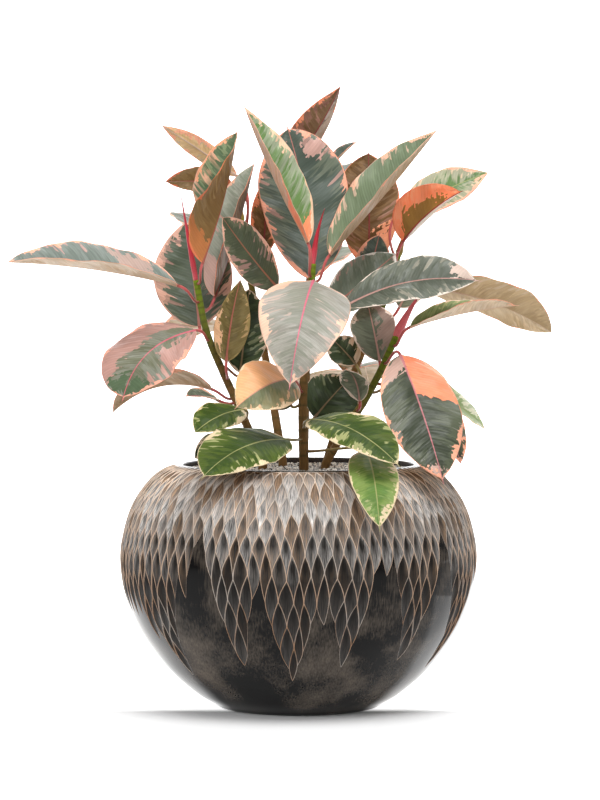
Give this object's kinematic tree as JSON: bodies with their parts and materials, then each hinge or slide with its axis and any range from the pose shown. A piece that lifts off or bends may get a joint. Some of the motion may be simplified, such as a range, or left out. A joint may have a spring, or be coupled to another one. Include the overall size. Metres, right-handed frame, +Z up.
{
  "type": "potted rubber plant",
  "caption": "Variegated rubber plant with upright stems and broad pointed leaves, growing in a wide dark bronze globe pot with a carved scale pattern.",
  "frame": {"origin": "centre of the pot's flat foot, on the surface that it stands on", "axes": "+Z up, -Y toward the front of the plant, +X to the right as seen from the front"},
  "size_m": [0.6206, 0.4708, 0.7024],
  "materials": {
    "pot_lacquer": "dark bronze lacquer, glossy and cloudy, with copper-washed carving",
    "potting_soil": "dark, rough and dry",
    "granite_grit": "rough mixed white, grey and brown grit",
    "stem_bark": "smooth young bark, green above and brown below",
    "red_sheath": "satin",
    "variegated_leaf": "satin, waxy, green with cream, pink and peach edges"
  },
  "bodies": {
    "root": {"gravel": "granite_grit", "leaf_back_brown": "variegated_leaf", "leaf_back_dark": "variegated_leaf", "leaf_back_small": "variegated_leaf", "leaf_back_tan": "variegated_leaf", "leaf_back_upper": "variegated_leaf", "leaf_centre_broad": "variegated_leaf", "leaf_centre_left": "variegated_leaf", "leaf_curl": "variegated_leaf", "leaf_droop": "variegated_leaf", "leaf_front_hanging": "variegated_leaf", "leaf_front_left": "variegated_leaf", "leaf_front_right": "variegated_leaf", "leaf_hanging": "variegated_leaf", "leaf_heart": "variegated_leaf", "leaf_left_broad": "variegated_leaf", "leaf_left_green": "variegated_leaf", "leaf_left_inner": "variegated_leaf", "leaf_left_long": "variegated_leaf", "leaf_left_low": "variegated_leaf", "leaf_left_olive": "variegated_leaf", "leaf_left_pink": "variegated_leaf", "leaf_left_shade": "variegated_leaf", "leaf_left_small": "variegated_leaf", "leaf_left_tan": "variegated_leaf", "leaf_left_upright": "variegated_leaf", "leaf_low_dark": "variegated_leaf", "leaf_middle_low": "variegated_leaf", "leaf_orange": "variegated_leaf", "leaf_peach": "variegated_leaf", "leaf_rear_high": "variegated_leaf", "leaf_rear_left": "variegated_leaf", "leaf_rear_left_high": "variegated_leaf", "leaf_rear_low": "variegated_leaf", "leaf_rear_middle": "variegated_leaf", "leaf_rear_right": "variegated_leaf", "leaf_right_broad": "variegated_leaf", "leaf_right_dark": "variegated_leaf", "leaf_right_fold": "variegated_leaf", "leaf_right_green": "variegated_leaf", "leaf_right_grey": "variegated_leaf", "leaf_right_narrow": "variegated_leaf", "leaf_right_olive": "variegated_leaf", "leaf_right_peach": "variegated_leaf", "leaf_right_spear": "variegated_leaf", "leaf_spear": "variegated_leaf", "leaf_top_brown": "variegated_leaf", "leaf_top_small": "variegated_leaf", "leaf_variegated": "variegated_leaf", "pot": "pot_lacquer", "sheath_left": "red_sheath", "sheath_middle": "red_sheath", "sheath_right": "red_sheath", "soil": "potting_soil", "stem_back": "stem_bark", "stem_back_left": "stem_bark", "stem_back_right": "stem_bark", "stem_left": "stem_bark", "stem_middle": "stem_bark", "stem_right": "stem_bark"}
  },
  "joints": []
}
